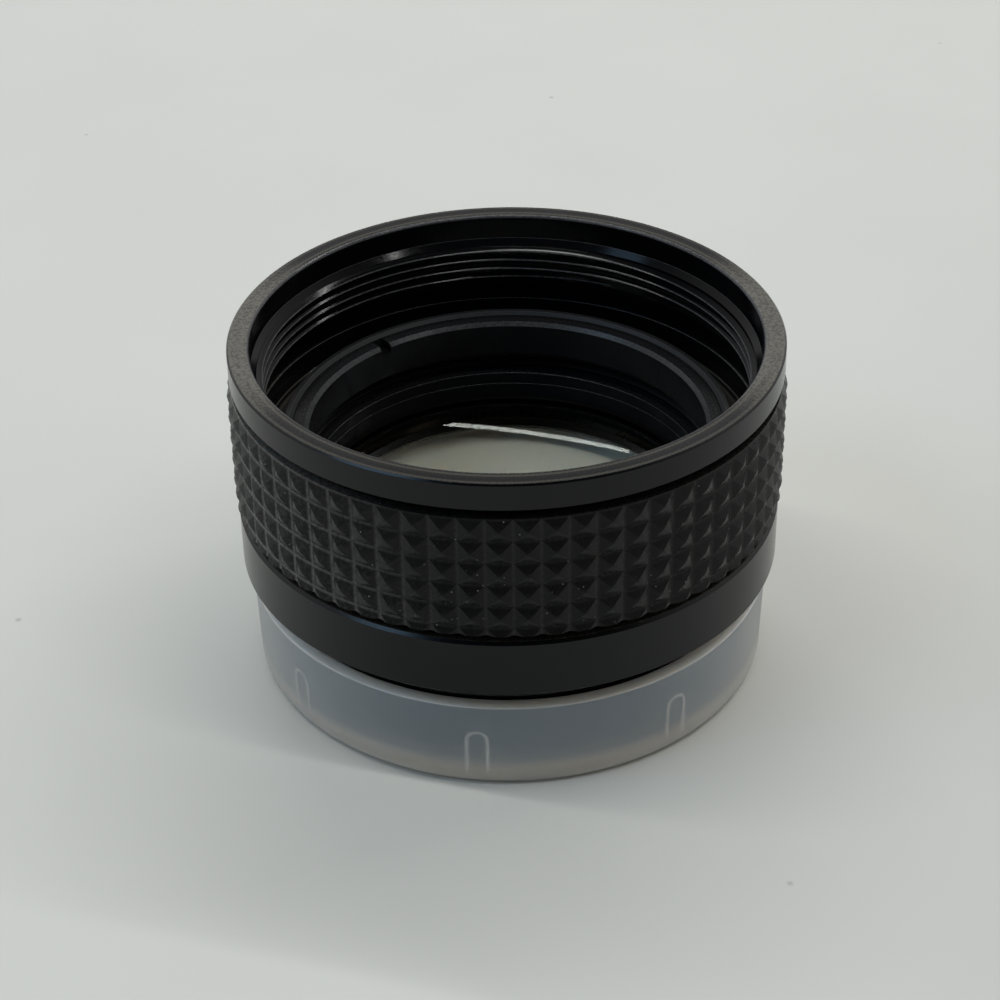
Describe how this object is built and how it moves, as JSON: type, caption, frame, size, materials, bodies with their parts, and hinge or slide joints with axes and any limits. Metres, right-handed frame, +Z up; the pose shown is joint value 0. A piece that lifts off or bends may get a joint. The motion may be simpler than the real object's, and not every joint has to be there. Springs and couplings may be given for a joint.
{
  "type": "telescope focal reducer",
  "caption": "Screw-in focal reducer lens for a telescope: black housing with rubber grip, threaded mouth, lens cell and translucent push-on dust cap.",
  "frame": {"origin": "centre of the dust cap's underside, on the table", "axes": "+Z up the optical axis, out of the mouth that takes the telescope; -Y towards the picture's viewer"},
  "size_m": [0.0572, 0.0572, 0.0367],
  "materials": {
    "anodised_housing": "satin black anodised",
    "anodised_cell": "matte black anodised",
    "anodised_ring": "matte black anodised",
    "grip_rubber": "matte moulded",
    "crown_glass": "coated, polished",
    "flint_glass": "polished",
    "cap_plastic": "frosted translucent"
  },
  "bodies": {
    "reducer": {"barrel": "anodised_housing", "rubber_grip": "grip_rubber", "lens_cell": "anodised_cell", "front_lock_ring": "anodised_ring", "lens_retaining_ring": "anodised_ring", "pressure_ring": "anodised_ring", "front_crown_lens": "crown_glass", "front_flint_lens": "flint_glass", "lens_spacer": "anodised_ring", "rear_flint_lens": "flint_glass", "rear_crown_lens": "crown_glass"},
    "cap": {"dust_cap": "cap_plastic"}
  },
  "joints": [
    {"name": "cap_pull", "type": "slide", "parent": "reducer", "child": "cap", "axis": [0, 0, -1], "range_m": [0, 0.012]}
  ]
}
